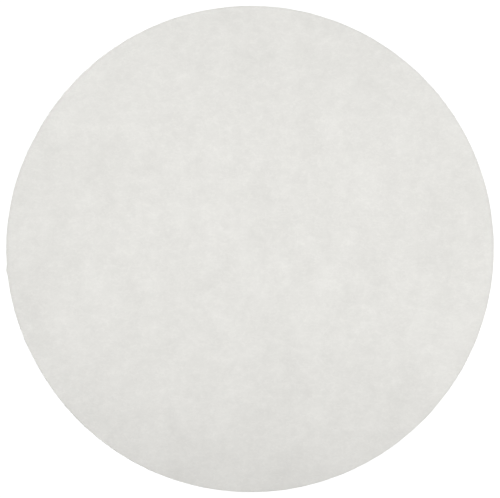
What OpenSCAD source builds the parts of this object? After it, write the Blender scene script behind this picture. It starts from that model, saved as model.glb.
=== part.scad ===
// Filter paper disc
//
// One round sheet of cellulose paper for a laboratory funnel, lying flat.
// Its centre is on the Z axis and its underside is at z = 0. Sizes are in millimetres.
//
// Discs like this are punched out of the web with a ring die, a sharpened steel strip bent into a
// circle, and the edge keeps the marks of it:
//   - The blade comes from above and presses the upper corner down before it cuts through, so that
//     corner is slanted and the lower one stays square.
//   - The ring springs open a little where the two ends of the strip meet, so the outline swells.
//   - The paper that is caught between the two ends is left as a small pointed nib.

/* [Sheet] */
// Diameter of the disc
disc_d = 110; // [40:1:240]
// Thickness of the dry sheet
sheet_t = 0.2; // [0.12:0.01:0.6]

/* [Cut edge] */
// How far the blade presses the upper corner down
press_h = 0.07; // [0.04:0.01:0.1]
// How far in from the edge the pressed corner reaches
press_w = 0.16; // [0.1:0.01:0.3]

/* [Die joint] */
// Direction of the middle of the swelling, anticlockwise from +X
swell_angle = 180; // [0:1:359]
// How far the outline stands out at the middle of the swelling
swell_h = 0.32; // [0.1:0.01:0.5]
// Angle from the middle of the swelling to where it runs out
swell_reach = 28; // [20:1:40]
// Angle from the middle of the swelling to the nib, anticlockwise
nib_angle = 5; // [-8:0.5:8]
// How far the nib stands out from the swelling
nib_h = 0.28; // [0.1:0.01:0.6]
// Width of the nib at its root
nib_w = 2.8; // [1:0.1:4]

/* [Hidden] */

// Steps that a full circle is drawn in
$fn = 360;
// The nib's flanks run on into the sheet until it is this many times as wide
NIB_ROOT = 2;
PAPER = "#E4E3DF";

disc_r = disc_d / 2;
wall_h = sheet_t - press_h;

// The swelling is the part of a slightly smaller, shifted circle that lies outside the disc.
// That circle passes through the highest point of the swelling and the two points where it runs out.
swell_top = disc_r + swell_h;
swell_shift = (swell_top * swell_top - disc_r * disc_r)
            / (2 * (swell_top - disc_r * cos(swell_reach)));
swell_r = swell_top - swell_shift;

// Distance from the disc's centre to the edge of the swelling, at an angle from its middle
function swell_edge(a) =
    swell_shift * cos(a) + sqrt(pow(swell_r, 2) - pow(swell_shift * sin(a), 2));

// Half of the section through a punched disc of radius r
module section(r) {
    polygon([
        [0, 0],
        [r, 0],
        [r, wall_h],
        [r - press_w, sheet_t],
        [0, sheet_t],
    ]);
}

module punched_disc(r) {
    rotate_extrude() section(r);
}

// The nib points along +X and has only the height of the cut wall, below the pressed corner.
module nib() {
    root_x = swell_edge(nib_angle);
    half_w = NIB_ROOT * nib_w / 2;
    linear_extrude(height = wall_h)
        polygon([
            [root_x + nib_h, 0],
            [root_x + nib_h - NIB_ROOT * nib_h, half_w],
            [root_x + nib_h - NIB_ROOT * nib_h, -half_w],
        ]);
}

module filter_paper() {
    color(PAPER)
        rotate([0, 0, swell_angle]) {
            punched_disc(disc_r);
            translate([swell_shift, 0, 0]) punched_disc(swell_r);
            rotate([0, 0, nib_angle]) nib();
        }
}

filter_paper();
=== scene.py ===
# %% [markdown]
# # Filter paper disc
#
# A laboratory filter paper is one round sheet of cellulose. The fibres settle out of water on a
# wire, are dried without any size or coating, and the discs are then punched out of the web with
# a ring die. So there is a single piece to make here, and its looks come from three things: the
# cloudy way in which the fibres settled, the fibres themselves, and the die's marks on the edge.
#
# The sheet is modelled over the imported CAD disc, in metres, with +Z up and the floor at z = 0.

# %% Load the frame
import math

import bmesh
import bpy
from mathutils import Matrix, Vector, noise


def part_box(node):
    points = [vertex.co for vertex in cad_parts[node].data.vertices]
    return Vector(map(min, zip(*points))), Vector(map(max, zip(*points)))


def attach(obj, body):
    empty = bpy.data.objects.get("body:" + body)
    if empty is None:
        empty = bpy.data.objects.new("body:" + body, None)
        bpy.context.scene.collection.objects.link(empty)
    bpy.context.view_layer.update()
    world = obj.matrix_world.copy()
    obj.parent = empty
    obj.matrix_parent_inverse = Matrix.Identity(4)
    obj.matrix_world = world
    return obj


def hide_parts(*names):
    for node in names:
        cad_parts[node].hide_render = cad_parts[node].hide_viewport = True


MM = 0.001

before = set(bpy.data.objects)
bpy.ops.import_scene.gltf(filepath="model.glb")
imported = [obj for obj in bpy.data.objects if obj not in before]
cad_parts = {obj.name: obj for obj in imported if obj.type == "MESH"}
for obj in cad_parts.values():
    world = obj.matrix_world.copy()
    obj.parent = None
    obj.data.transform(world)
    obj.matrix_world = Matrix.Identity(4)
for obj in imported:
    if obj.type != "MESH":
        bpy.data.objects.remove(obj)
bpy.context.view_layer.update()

# %% [markdown]
# ## Sizes
#
# The diameter and the thickness are read from the CAD disc, so the sheet follows if they change.
# The diameter is taken across Y, because the swelling at the die's joint widens the disc in X.
# The rest are the die's marks: how far its blade pressed the upper corner down and in, and how far
# the outline stands out where the two ends of the blade meet, in a long swelling and a small nib.

# %% Read the sizes
disc_low, disc_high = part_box("filter_paper")
DISC_R = (disc_high.y - disc_low.y) / 2
SHEET_T = disc_high.z - disc_low.z

PRESS_H = 0.07 * MM
PRESS_W = 0.16 * MM

SWELL_MIDDLE = math.radians(180)
SWELL_H = 0.32 * MM
SWELL_REACH = math.radians(28)
NIB_MIDDLE = SWELL_MIDDLE + math.radians(5)
NIB_H = 0.28 * MM
NIB_W = 2.8 * MM

print(f"disc radius {DISC_R / MM:.2f} mm, sheet {SHEET_T / MM:.2f} mm thick")

# %% [markdown]
# ## Camera
#
# The camera hangs over the sheet. A camera that isn't turned looks straight down, so it needs no
# aiming. Its 100 mm lens is a long one, which keeps a flat thing nearly free of perspective. The
# lens sets how far away the camera has to be for its picture to be FRAME_W wide at the top of the
# cut wall, which is the outline that it sees. The disc lies DISC_OFFSET to the right of the
# picture's middle, so the camera is moved as far to the left.

# %% Hang the camera
LENS = 100
SENSOR_W = 36
FRAME_W = 113.14 * MM
DISC_OFFSET = 0.164 * MM

camera_data = bpy.data.cameras.new("camera")
camera_data.lens = LENS
camera_data.sensor_width = SENSOR_W
camera = bpy.data.objects.new("camera", camera_data)
bpy.context.scene.collection.objects.link(camera)
camera.location = (-DISC_OFFSET, 0, SHEET_T - PRESS_H + FRAME_W * LENS / SENSOR_W)
bpy.context.scene.camera = camera
print(f"camera {camera.location.z / MM:.0f} mm over the floor")

# %% [markdown]
# ## The sheet's section
#
# A punched disc could be an extruded circle with a bevel, but the blade presses the upper corner
# further in than down, and a bevel is as wide as it is deep. A lathe is freer: half of the section
# is drawn once and spun. The pen starts on the axis, runs out along the upper face, follows the
# pressed corner round, drops down the cut wall and comes back along the underside.
#
# The pressed corner is an arc that leaves the upper face smoothly, so its centre is straight below
# the point where it starts. Spinning one vertex about that centre draws it. The two long edges are
# cut into steps at the end, so that the sheet can cockle.

# %% Draw half of the section
RING_STEP = 2.2 * MM
PRESS_STEPS = 4

PRESS_R = (PRESS_W**2 + PRESS_H**2) / (2 * PRESS_H)
PRESS_TURN = math.asin(PRESS_W / PRESS_R)


def stroke(mesh, end, to):
    """Draws a straight edge from the open end of the section and returns its new end."""
    new_end = bmesh.ops.extrude_vert_indiv(mesh, verts=[end])["verts"][0]
    new_end.co = to
    return new_end


def draw_section(mesh):
    face_end = DISC_R - PRESS_W
    start = mesh.verts.new((0, 0, SHEET_T))
    end = stroke(mesh, start, (face_end, 0, SHEET_T))
    arc = bmesh.ops.spin(
        mesh,
        geom=[end],
        cent=(face_end, 0, SHEET_T - PRESS_R),
        axis=(0, 1, 0),
        angle=PRESS_TURN,
        steps=PRESS_STEPS,
    )
    end = arc["geom_last"][0]
    end = stroke(mesh, end, (DISC_R, 0, 0))
    stroke(mesh, end, (0, 0, 0))
    long_edges = [edge for edge in mesh.edges if edge.calc_length() > RING_STEP]
    cuts = round(DISC_R / RING_STEP) - 1
    bmesh.ops.subdivide_edges(mesh, edges=long_edges, cuts=cuts)


sheet_mesh = bmesh.new()
draw_section(sheet_mesh)
print(f"section of {len(sheet_mesh.verts)} points")

# %% [markdown]
# ## Spinning it
#
# Spokes every half degree leave steps of 0.5 mm on the edge, which read as round, and the nib's
# point falls on one of them. A full spin is told to merge its last copy with its first. The points
# on the axis were copied once for each spoke, so they are merged before the normals are made to
# point outwards.

# %% Spin the section
SPOKES = 720
MERGE_WITHIN = 0.001 * MM

bmesh.ops.spin(
    sheet_mesh,
    geom=sheet_mesh.verts[:] + sheet_mesh.edges[:],
    cent=(0, 0, 0),
    axis=(0, 0, 1),
    angle=math.tau,
    steps=SPOKES,
    use_merge=True,
)
bmesh.ops.remove_doubles(sheet_mesh, verts=sheet_mesh.verts[:], dist=MERGE_WITHIN)
bmesh.ops.recalc_face_normals(sheet_mesh, faces=sheet_mesh.faces[:])
open_edges = sum(1 for edge in sheet_mesh.edges if not edge.is_manifold)
print(f"{len(sheet_mesh.faces)} faces, {open_edges} open edges")

# %% [markdown]
# ## The outline at the die's joint
#
# The ring of the die is a strip bent into a circle. It springs open where its ends meet, so the
# outline swells there, and the paper caught between the ends is left as a small nib. The swelling
# is the part of a smaller, shifted circle that lies outside the disc, as in the CAD disc, so it
# runs out without a step. The nib is a triangle that stands on it. Both are given here as the
# distance by which the outline stands out in a direction.

# %% Describe the swelling and the nib
SWELL_TOP = DISC_R + SWELL_H
SWELL_SHIFT = (SWELL_TOP**2 - DISC_R**2) / (2 * (SWELL_TOP - DISC_R * math.cos(SWELL_REACH)))
SWELL_R = SWELL_TOP - SWELL_SHIFT


def turn_from(angle, middle):
    """The angle from a middle direction, between minus and plus half a turn."""
    return math.remainder(angle - middle, math.tau)


def swelling(angle):
    """How far the swelling stands out of the disc in a direction."""
    turn = turn_from(angle, SWELL_MIDDLE)
    if abs(turn) > SWELL_REACH:
        return 0
    across = SWELL_SHIFT * math.sin(turn)
    return SWELL_SHIFT * math.cos(turn) + math.sqrt(SWELL_R**2 - across**2) - DISC_R


def nib(angle):
    """How far the nib stands out of the swelling in a direction."""
    from_point = abs(turn_from(angle, NIB_MIDDLE)) * SWELL_TOP
    return NIB_H * max(0, 1 - from_point / (NIB_W / 2))


print(f"swelling {swelling(SWELL_MIDDLE) / MM:.2f} mm high, nib {nib(NIB_MIDDLE) / MM:.2f} mm")

# %% [markdown]
# ## Pushing the edge out
#
# The edge is pushed out along its spokes. The push fades away over the last few millimetres of the
# sheet, so that no ring of the mesh is crossed by its neighbour. The nib has only the height of
# the cut wall, so the pressed corner above it stays where it is. The blade goes through into a
# soft pad, which gives way, so the edge also wanders by a few hundredths of a millimetre. A noise
# gives that.

# %% Push the edge out
PUSH_FADE = 6 * MM
RAGGED_H = 0.035 * MM
RAGGED_WAVE = 4 * MM
RAGGED_OCTAVES = 3
OCTAVE_FADE = 1.0
OCTAVE_RATIO = 2.0


def waves(place, octaves):
    """A smooth noise about 0, in which each octave has half the height and length of the last."""
    return noise.fractal(place, OCTAVE_FADE, OCTAVE_RATIO, octaves)


def push_edge_out(mesh):
    for vert in mesh.verts:
        radius = vert.co.xy.length
        depth = DISC_R - radius
        if depth > PUSH_FADE:
            continue
        angle = math.atan2(vert.co.y, vert.co.x)
        ragged = RAGGED_H * waves(vert.co / RAGGED_WAVE, RAGGED_OCTAVES)
        push = (swelling(angle) + ragged) * (1 - depth / PUSH_FADE)
        if depth < MERGE_WITHIN:
            push += nib(angle)
        vert.co.xy *= 1 + push / radius


push_edge_out(sheet_mesh)
print(f"edge reaches {min(v.co.x for v in sheet_mesh.verts) / MM:.2f} mm at the die's joint")

# %% [markdown]
# ## Cockle
#
# A sheet that dried freely is never quite flat: its fibres shrink unevenly and it cockles. On a
# thick soft paper that lies on a bench the waves are some centimetres long and less than a tenth
# of a millimetre high. Under almost no load, a cloth simulation would have nothing to bend, so the
# waves are a noise. Both faces get the same lift, so the sheet keeps its thickness, and the whole
# is then let down until its lowest point touches the floor.

# %% Cockle the sheet
COCKLE_WAVE = 24 * MM
COCKLE_H = 0.06 * MM
COCKLE_OCTAVES = 2


def cockle(point):
    """How far the sheet is lifted at a point."""
    in_plane = Vector((point.x, point.y, 0))
    return COCKLE_H * waves(in_plane / COCKLE_WAVE, COCKLE_OCTAVES)


for vert in sheet_mesh.verts:
    vert.co.z += cockle(vert.co)
floor_gap = min(v.co.z for v in sheet_mesh.verts)
bmesh.ops.translate(sheet_mesh, verts=sheet_mesh.verts[:], vec=(0, 0, -floor_gap))
print(f"the sheet's highest point is at {max(v.co.z for v in sheet_mesh.verts) / MM:.2f} mm")

# %% [markdown]
# ## The sheet's flat map
#
# The paper's pattern can be drawn into an image through a map of the name MAP_NAME. The two faces
# lie in opposite corners of it, with the upper one larger because it is seen more. The underside is
# turned over, so that nothing is mirrored. The cut wall is thinner than a pixel of that image would
# be, so it is folded out round the upper face and drawn WALL_SHOWN wide.
#
# A face's normal says where it belongs. On the underside it points further down than
# UNDERSIDE_BELOW, and on the cut wall it points neither up nor down by more than WALL_WITHIN.

# %% Lay the sheet flat on its map
MAP_NAME = "OFBake"
MAP_MARGIN = 0.005
UPPER_RADIUS = 0.355
UNDER_RADIUS = 0.22
WALL_SHOWN = 0.6 * MM
UNDERSIDE_BELOW = -0.5
WALL_WITHIN = 0.3

MAP_REACH = SWELL_TOP + NIB_H + RAGGED_H + WALL_SHOWN


def place_on_map(point, under, folded_out):
    """Where a point of the sheet lies on the flat map."""
    reach = point.xy.length + (WALL_SHOWN if folded_out else 0)
    angle = math.atan2(point.y, -point.x if under else point.x)
    radius = UNDER_RADIUS if under else UPPER_RADIUS
    middle = 1 - MAP_MARGIN - radius if under else MAP_MARGIN + radius
    at = radius * reach / MAP_REACH
    return middle + at * math.cos(angle), middle + at * math.sin(angle)


def lay_flat(mesh):
    layer = mesh.loops.layers.uv.new(MAP_NAME)
    mesh.normal_update()
    for face in mesh.faces:
        under = face.normal.z < UNDERSIDE_BELOW
        is_wall = abs(face.normal.z) < WALL_WITHIN
        half_way_up = face.calc_center_median().z
        for loop in face.loops:
            folded_out = is_wall and loop.vert.co.z < half_way_up
            loop[layer].uv = place_on_map(loop.vert.co, under, folded_out)


lay_flat(sheet_mesh)
print(f"the upper face takes {2 * UPPER_RADIUS * DISC_R / MAP_REACH:.0%} of the map's width")

# %% [markdown]
# ## The finished piece
#
# The mesh goes into an object at the origin. The faces are smooth shaded, but the cut wall and the
# underside meet at a sharp corner, so the edges that turn by more than SHARP_TURN are left sharp.
# The piece rides on the only body and stands for the CAD disc, which is hidden.

# %% Put the sheet on its body
SHARP_TURN = math.radians(50)

for face in sheet_mesh.faces:
    face.smooth = True
for edge in sheet_mesh.edges:
    edge.smooth = edge.calc_face_angle() < SHARP_TURN

paper_data = bpy.data.meshes.new("paper_sheet")
sheet_mesh.to_mesh(paper_data)
sheet_mesh.free()
paper_sheet = bpy.data.objects.new("paper_sheet", paper_data)
bpy.context.scene.collection.objects.link(paper_sheet)

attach(paper_sheet, "root")
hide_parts("filter_paper")
print(f"{sum(len(p.vertices) - 2 for p in paper_data.polygons)} triangles")

# %% [markdown]
# ## Helpers for the finish
#
# Colours are written as sRGB hex values, as they would be read off a swatch, and Cycles works with
# linear ones, so one function turns them round with the sRGB standard's own numbers. A second one
# adds a node with its settings and fills its sockets, with a number or with a link from another
# node. A Mix node has sockets for every kind of value, and the ones for colours are named here.

# %% Define the helpers
MIX_FIRST = 6
MIX_SECOND = 7
MIX_RESULT = 2


def linear(hex_colour):
    """The linear colour, with an alpha of 1, of an sRGB value such as "#E6E5E1"."""
    channels = [int(hex_colour[i : i + 2], 16) / 255 for i in (1, 3, 5)]
    return [c / 12.92 if c <= 0.04045 else ((c + 0.055) / 1.055) ** 2.4 for c in channels] + [1]


def add_node(tree, kind, settings=None, inputs=None):
    """Adds a node, sets its properties, and fills its sockets with values or links."""
    node = tree.nodes.new(kind)
    for name, value in (settings or {}).items():
        setattr(node, name, value)
    for name, value in (inputs or {}).items():
        if isinstance(value, bpy.types.NodeSocket):
            tree.links.new(value, node.inputs[name])
        else:
            node.inputs[name].default_value = value
    return node


print("helpers ready, mid grey is", round(linear("#808080")[0], 3), "as a linear value")

# %% [markdown]
# ## Paper: how the fibres settled
#
# Unsized filter paper is bleached cotton and wood fibre, felted wet and dried in air. It is matte
# and nearly white, a touch warm. The fibres flock together as they settle, so the sheet has
# thicker, whiter places and thinner, greyer ones at every size from centimetres down to half a
# millimetre. A noise whose octaves are all about equally strong has that look. The pulp reaches
# the wire in small surges, which leave drifts across the web, here along Y, so the large drifts
# are drawn out that way. The small flocks lie as they fell. So each has a noise of its own, and
# the two are summed.
#
# A noise is built on cells, and where the cells of many octaves line up it shows them. All of
# them do at the noise's origin, so the sheet lies away from that. Each octave is also a little
# more than twice as fine as the one before it, so that few of their cells line up elsewhere.

# %% Settle the fibres
PATTERN_PLACE = (1.0, 2.0, 3.0)
OCTAVE_STEP = 2.1
DRIFT_SIZE = 12.5 * MM
DRIFT_OCTAVES = 1
DRIFT_ROUGHNESS = 1.0
DRIFT_STRETCH = 2.0
FLOCK_SIZE = 5 * MM
FLOCK_OCTAVES = 3
FLOCK_ROUGHNESS = 0.94
CLOUD_STRENGTH = 0.14
CLOUD_MIDDLE = 0.5


def add_clouds(tree, place):
    """About 0 in the thinnest places of the sheet and about 1 in the thickest."""
    drawn_out = add_node(
        tree,
        "ShaderNodeMapping",
        inputs={"Vector": place, "Scale": (1, 1 / DRIFT_STRETCH, 1)},
    )
    drifts = add_node(
        tree,
        "ShaderNodeTexNoise",
        settings={"normalize": False},
        inputs={
            "Vector": drawn_out.outputs["Vector"],
            "Scale": 1 / DRIFT_SIZE,
            "Detail": DRIFT_OCTAVES,
            "Roughness": DRIFT_ROUGHNESS,
            "Lacunarity": OCTAVE_STEP,
        },
    )
    flocks = add_node(
        tree,
        "ShaderNodeTexNoise",
        settings={"normalize": False},
        inputs={
            "Vector": place,
            "Scale": 1 / FLOCK_SIZE,
            "Detail": FLOCK_OCTAVES,
            "Roughness": FLOCK_ROUGHNESS,
            "Lacunarity": OCTAVE_STEP,
        },
    )
    both = add_node(
        tree,
        "ShaderNodeMath",
        settings={"operation": "ADD"},
        inputs={0: drifts.outputs["Fac"], 1: flocks.outputs["Fac"]},
    )
    thickness = add_node(
        tree,
        "ShaderNodeMath",
        settings={"operation": "MULTIPLY_ADD"},
        inputs={0: both.outputs[0], 1: CLOUD_STRENGTH, 2: CLOUD_MIDDLE},
    )
    return thickness.outputs[0]


print(f"drifts of {DRIFT_SIZE / MM} mm and flocks of {FLOCK_SIZE / MM} mm")

# %% [markdown]
# ## Paper: the curl of the fibres
#
# A fibre is one or two millimetres long and a few hundredths wide, and it lies in a loose curl.
# It could be a curve of its own, but a sheet holds millions. The lines on which a smooth noise
# passes through its middle value are just such curls: they wander, they never end abruptly, and
# they are about equally wide. A real fibre is too fine to show, so these are drawn FIBRE_W wide,
# which is a small bundle.
#
# A line covers the places where the noise is within a certain distance of its middle value. How
# wide that makes it depends on how steep the noise is there, which is CURL_SLOPE a cell.

# %% Draw the curls
FIBRE_W = 0.14 * MM
FIBRE_CURL = 1.1 * MM
CURL_DETAIL = 1
CURL_SLOPE = 0.4
NOISE_MIDDLE = 0.5


def add_curls(tree, turned):
    """1 on the curled lines of one layer, and 0 beside them."""
    curl = add_node(
        tree,
        "ShaderNodeTexNoise",
        inputs={"Vector": turned, "Scale": 1 / FIBRE_CURL, "Detail": CURL_DETAIL},
    )
    from_line = add_node(
        tree,
        "ShaderNodeMath",
        settings={"operation": "SUBTRACT"},
        inputs={0: curl.outputs["Fac"], 1: NOISE_MIDDLE},
    )
    off_line = add_node(
        tree,
        "ShaderNodeMath",
        settings={"operation": "ABSOLUTE"},
        inputs={0: from_line.outputs[0]},
    )
    line = add_node(
        tree,
        "ShaderNodeMapRange",
        settings={"interpolation_type": "SMOOTHSTEP"},
        inputs={
            "Value": off_line.outputs[0],
            "From Max": CURL_SLOPE * FIBRE_W / FIBRE_CURL,
            "To Min": 1.0,
            "To Max": 0.0,
        },
    )
    return line.outputs["Result"]


print(f"fibres drawn {FIBRE_W / MM} mm wide")

# %% [markdown]
# ## Paper: the length of the fibres
#
# Drawn like this, the curls would run on for ever. A second noise, with cells about as large as a
# fibre is long, fades them in and out, so that each is only as long as a fibre. Below FIBRE_GONE
# it hides them, above FIBRE_WHOLE it shows them, and in between they thin out.

# %% Cut the curls to length
FIBRE_LENGTH = 1.4 * MM
FIBRE_GONE = 0.45
FIBRE_WHOLE = 0.65


def add_lengths(tree, turned):
    """1 where one layer has fibres, and 0 past their ends."""
    presence = add_node(
        tree,
        "ShaderNodeTexNoise",
        inputs={"Vector": turned, "Scale": 1 / FIBRE_LENGTH, "Detail": 0},
    )
    shown = add_node(
        tree,
        "ShaderNodeMapRange",
        settings={"interpolation_type": "SMOOTHSTEP"},
        inputs={
            "Value": presence.outputs["Fac"],
            "From Min": FIBRE_GONE,
            "From Max": FIBRE_WHOLE,
        },
    )
    return shown.outputs["Result"]


print(f"fibres about {FIBRE_LENGTH / MM} mm long")

# %% [markdown]
# ## Paper: the felt
#
# Layers of fibres are turned against each other and lie LAYER_APART in the noise, so that no two
# are alike. Where they cross, the brighter one shows. More fibres lie along X, the way the web ran
# through the machine, so every layer is drawn out that way. A Mapping node stretches before it
# turns, which is why the turn doesn't take the stretch with it.

# %% Felt the layers
FIBRE_LAYERS = 4
FIBRE_STRETCH = 1.7
LAYER_APART = 1.0


def add_fibres(tree, place):
    """1 on a fibre and 0 beside it."""
    felt = 0.0
    for layer in range(FIBRE_LAYERS):
        turned = add_node(
            tree,
            "ShaderNodeMapping",
            inputs={
                "Vector": place,
                "Location": (layer * LAYER_APART, 0, 0),
                "Rotation": (0, 0, layer * math.pi / FIBRE_LAYERS),
                "Scale": (1 / FIBRE_STRETCH, 1, 1),
            },
        ).outputs["Vector"]
        fibre = add_node(
            tree,
            "ShaderNodeMath",
            settings={"operation": "MULTIPLY"},
            inputs={0: add_curls(tree, turned), 1: add_lengths(tree, turned)},
        )
        felt = add_node(
            tree,
            "ShaderNodeMath",
            settings={"operation": "MAXIMUM"},
            inputs={0: felt, 1: fibre.outputs[0]},
        ).outputs[0]
    return felt


print(f"felt of {FIBRE_LAYERS} layers")

# %% [markdown]
# ## Paper: painted shade along the rim
#
# The last part of a millimetre beside the cut is painted a shade greyer, as painted shade along the
# pressed edge. It is measured from the disc's middle, in the plane.

# %% Paint shade along the rim
RIM_W = 0.7 * MM
RIM_DROP = 0.16
IN_PLANE = (1, 1, 0)


def add_rim_painted_shade(tree, on_sheet):
    """How much painted shade darkens the rim: 0 inside it and RIM_DROP at the cut."""
    in_plane = add_node(
        tree,
        "ShaderNodeVectorMath",
        settings={"operation": "MULTIPLY"},
        inputs={0: on_sheet, 1: IN_PLANE},
    )
    radius = add_node(
        tree,
        "ShaderNodeVectorMath",
        settings={"operation": "LENGTH"},
        inputs={0: in_plane.outputs["Vector"]},
    )
    drop = add_node(
        tree,
        "ShaderNodeMapRange",
        settings={"interpolation_type": "SMOOTHSTEP"},
        inputs={
            "Value": radius.outputs["Value"],
            "From Min": DISC_R - RIM_W,
            "From Max": DISC_R,
            "To Max": RIM_DROP,
        },
    )
    return drop.outputs["Result"]


print(f"rim {RIM_W / MM} mm wide")

# %% [markdown]
# ## Paper: colour and relief
#
# The clouds set where the colour lies between thin and thick paper, each fibre lifts it a bit more,
# and a painted shade takes a bit off along the rim. The same fibres stand up a few thousandths of a
# millimetre from the surface, which a bump gives. The sheet is porous, so it reflects less at its
# surface than a closed one of the same index would.

# %% Mix the paper
PAPER_THIN = "#DDDCD8"
PAPER_THICK = "#EFEEEA"
PAPER_ROUGHNESS = 0.9
PAPER_IOR = 1.5
PAPER_SPECULAR = 0.25
FIBRE_LIFT = 0.2
FIBRE_HEIGHT = 0.006 * MM


def make_paper():
    material = bpy.data.materials.new("cellulose_filter_paper")
    material.use_nodes = True
    tree = material.node_tree
    tree.nodes.clear()

    on_sheet = add_node(tree, "ShaderNodeTexCoord").outputs["Object"]
    place = add_node(
        tree,
        "ShaderNodeMapping",
        inputs={"Vector": on_sheet, "Location": PATTERN_PLACE},
    ).outputs["Vector"]
    fibres = add_fibres(tree, place)
    lifted = add_node(
        tree,
        "ShaderNodeMath",
        settings={"operation": "MULTIPLY_ADD"},
        inputs={0: fibres, 1: FIBRE_LIFT, 2: add_clouds(tree, place)},
    )
    # Besides the paper's thickness, this factor carries the painted shade that darkens the rim.
    thickness = add_node(
        tree,
        "ShaderNodeMath",
        settings={"operation": "SUBTRACT"},
        inputs={0: lifted.outputs[0], 1: add_rim_painted_shade(tree, on_sheet)},
    )
    colour = add_node(
        tree,
        "ShaderNodeMix",
        settings={"data_type": "RGBA", "clamp_factor": False},
        inputs={
            0: thickness.outputs[0],
            MIX_FIRST: linear(PAPER_THIN),
            MIX_SECOND: linear(PAPER_THICK),
        },
    )
    relief = add_node(
        tree,
        "ShaderNodeBump",
        inputs={"Height": fibres, "Distance": FIBRE_HEIGHT},
    )
    surface = add_node(
        tree,
        "ShaderNodeBsdfPrincipled",
        inputs={
            "Base Color": colour.outputs[MIX_RESULT],
            "Normal": relief.outputs["Normal"],
            "Roughness": PAPER_ROUGHNESS,
            "IOR": PAPER_IOR,
            "Specular IOR Level": PAPER_SPECULAR,
        },
    )
    add_node(tree, "ShaderNodeOutputMaterial", inputs={"Surface": surface.outputs["BSDF"]})
    return material


paper = make_paper()
paper_data.materials.append(paper)
print(f"paper of {len(paper.node_tree.nodes)} nodes")

# %% [markdown]
# ## Which rays see the room
#
# The floor and the room are to look white without lighting the sheet any more. So they show one
# face to the rays that see them and another to the light's own rays. A ray sees them when it comes
# from the camera, off a gloss or through something clear.

# %% Tell the rays apart
def seen(tree):
    """1 on a ray from the camera, a reflection or a refraction, and 0 on the light's own rays."""
    path = add_node(tree, "ShaderNodeLightPath")
    total = path.outputs["Is Camera Ray"]
    for ray in ("Is Glossy Ray", "Is Transmission Ray"):
        total = add_node(
            tree,
            "ShaderNodeMath",
            settings={"operation": "MAXIMUM"},
            inputs={0: total, 1: path.outputs[ray]},
        ).outputs[0]
    return total


print("three kinds of ray see the room")

# %% [markdown]
# ## Floor
#
# The floor is a white sweep. The light that it sends back to the object comes from its colour
# alone. On the rays that see it, its colour is dimmed and emission makes up the rest, to just
# white. So the background is white without more light on the sheet, and what shadow there is
# stays in it.

# %% Lay the floor
FLOOR_HALF = 1.5
FLOOR_COLOUR = "#E6E6E6"
FLOOR_SHOWN = "#595959"
FLOOR_TOP_UP = 0.985


def make_floor_material():
    material = bpy.data.materials.new("white_sweep")
    material.use_nodes = True
    tree = material.node_tree
    tree.nodes.clear()
    is_seen = seen(tree)
    colour = add_node(
        tree,
        "ShaderNodeMix",
        settings={"data_type": "RGBA"},
        inputs={
            0: is_seen,
            MIX_FIRST: linear(FLOOR_COLOUR),
            MIX_SECOND: linear(FLOOR_SHOWN),
        },
    )
    matte = add_node(
        tree,
        "ShaderNodeBsdfDiffuse",
        inputs={"Color": colour.outputs[MIX_RESULT]},
    )
    strength = add_node(
        tree,
        "ShaderNodeMath",
        settings={"operation": "MULTIPLY"},
        inputs={0: is_seen, 1: FLOOR_TOP_UP},
    )
    top_up = add_node(tree, "ShaderNodeEmission", inputs={"Strength": strength.outputs[0]})
    both = add_node(
        tree,
        "ShaderNodeAddShader",
        inputs={0: matte.outputs["BSDF"], 1: top_up.outputs["Emission"]},
    )
    add_node(tree, "ShaderNodeOutputMaterial", inputs={"Surface": both.outputs["Shader"]})
    return material


floor_mesh = bmesh.new()
bmesh.ops.create_grid(floor_mesh, x_segments=1, y_segments=1, size=FLOOR_HALF)
floor_data = bpy.data.meshes.new("floor")
floor_mesh.to_mesh(floor_data)
floor_mesh.free()
floor_data.materials.append(make_floor_material())
floor = bpy.data.objects.new("floor", floor_data)
bpy.context.scene.collection.objects.link(floor)
print(f"floor {2 * FLOOR_HALF:.1f} m wide")

# %% [markdown]
# ## Soft box
#
# A soft box with a honeycomb grid hangs over the sheet. The grid lets the light out only within a
# narrow angle, so the box lights a pool that fades towards its rim. The pool's middle is a little
# up and to the right of the disc's, so the lower edge lies in the softer light. The box is wider
# than it is deep and turned a few degrees, and the pool has the same lean.

# %% Hang the soft box
LAMP_HEIGHT = 500 * MM
LAMP_MIDDLE = (9.7 * MM, 11.5 * MM)
LAMP_SIZE = (247 * MM, 204 * MM)
LAMP_TURN = math.radians(-6)
LAMP_SPREAD = math.radians(21.3)
LAMP_POWER = 0.133

lamp_data = bpy.data.lights.new("soft_box", "AREA")
lamp_data.shape = "RECTANGLE"
lamp_data.size, lamp_data.size_y = LAMP_SIZE
lamp_data.spread = LAMP_SPREAD
lamp_data.energy = LAMP_POWER
lamp = bpy.data.objects.new("soft_box", lamp_data)
lamp.location = (*LAMP_MIDDLE, LAMP_HEIGHT)
lamp.rotation_euler.z = LAMP_TURN
lamp.visible_camera = False
bpy.context.scene.collection.objects.link(lamp)
print(f"soft box {LAMP_HEIGHT / MM:.0f} mm over the floor, {LAMP_POWER} W")

# %% [markdown]
# ## Room
#
# The rest of the room fills in evenly with a weak light from the world. The rays that see the room
# find plain white instead. The view transform is Standard, so that a colour shows as it is written.

# %% Fill the room
FILL = 0.146
WHITE = (1, 1, 1, 1)
WHITE_SHOWN = 1.0


def fill_room():
    world = bpy.data.worlds.new("room")
    world.use_nodes = True
    tree = world.node_tree
    tree.nodes.clear()
    strength = add_node(
        tree,
        "ShaderNodeMapRange",
        inputs={"Value": seen(tree), "To Min": FILL, "To Max": WHITE_SHOWN},
    )
    sky = add_node(
        tree,
        "ShaderNodeBackground",
        inputs={"Color": WHITE, "Strength": strength.outputs["Result"]},
    )
    add_node(tree, "ShaderNodeOutputWorld", inputs={"Surface": sky.outputs["Background"]})
    bpy.context.scene.world = world


fill_room()
bpy.context.scene.view_settings.view_transform = "Standard"
print(f"fill of {FILL}")
